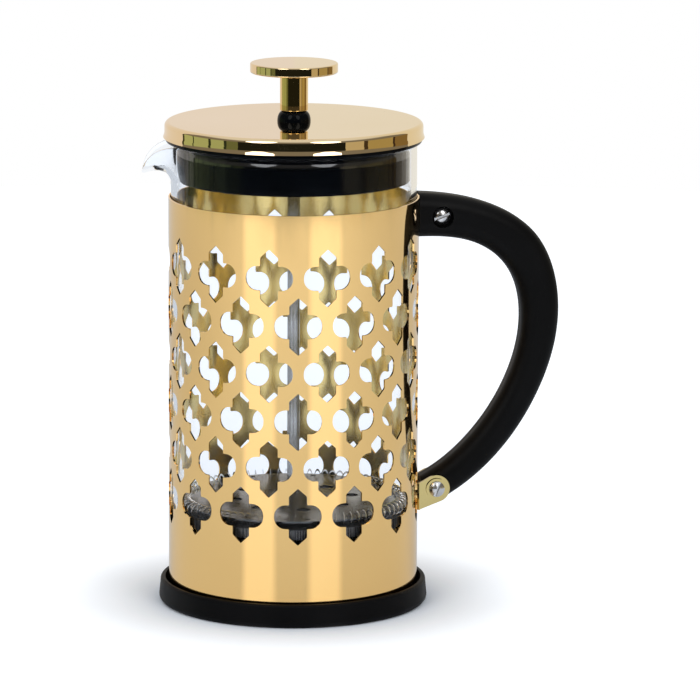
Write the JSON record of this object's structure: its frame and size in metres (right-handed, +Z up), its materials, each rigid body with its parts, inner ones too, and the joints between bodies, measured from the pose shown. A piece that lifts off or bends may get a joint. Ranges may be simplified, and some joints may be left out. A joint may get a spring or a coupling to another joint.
{
  "type": "french press",
  "caption": "Coffee press with a glass beaker in a pierced gold sleeve, a black tray and D handle, a lid with a skirt, and a plunger with a sprung mesh filter.",
  "frame": {"origin": "centre of the underside of the tray", "axes": "+Z up along the beaker's axis, +X towards the handle, -X towards the pouring lip"},
  "size_m": [0.1721, 0.11, 0.2221],
  "materials": {
    "gold": "polished gold-coloured coating on stainless steel",
    "black_plastic": "fine matt moulded plastic",
    "handle_black": "soft matt plastic",
    "gloss_black": "glossy moulded plastic",
    "glass": "clear borosilicate glass",
    "steel": "plain stainless steel",
    "mesh": "fine woven stainless mesh"
  },
  "bodies": {
    "frame": {"sleeve": "gold", "base_tray": "black_plastic", "handle": "handle_black", "upper_bracket": "gold", "lower_bracket": "gold", "upper_screw": "steel", "upper_nut": "steel", "lower_screw": "steel", "lower_washer": "gold", "lower_nut": "steel"},
    "beaker": {"beaker": "glass"},
    "lid": {"lid_cover": "gold", "lid_insert": "gloss_black", "lid_bush": "gloss_black", "bush_retainer": "black_plastic"},
    "plunger": {"plunger_rod": "steel", "knob_stem": "gold", "knob_disc": "gold", "rod_collar": "steel", "spring_plate": "steel", "filter_spring": "steel", "mesh_screen": "mesh", "cross_plate": "steel", "filter_nut": "steel"}
  },
  "joints": [
    {"name": "beaker_lift", "type": "slide", "parent": "frame", "child": "beaker", "axis": [0, 0, 1], "range_m": [0, 0.166]},
    {"name": "lid_lift", "type": "slide", "parent": "beaker", "child": "lid", "axis": [0, 0, 1], "range_m": [0, 0.165]},
    {"name": "plunger_slide", "type": "slide", "parent": "lid", "child": "plunger", "axis": [0, 0, 1], "range_m": [0, 0.128]}
  ]
}
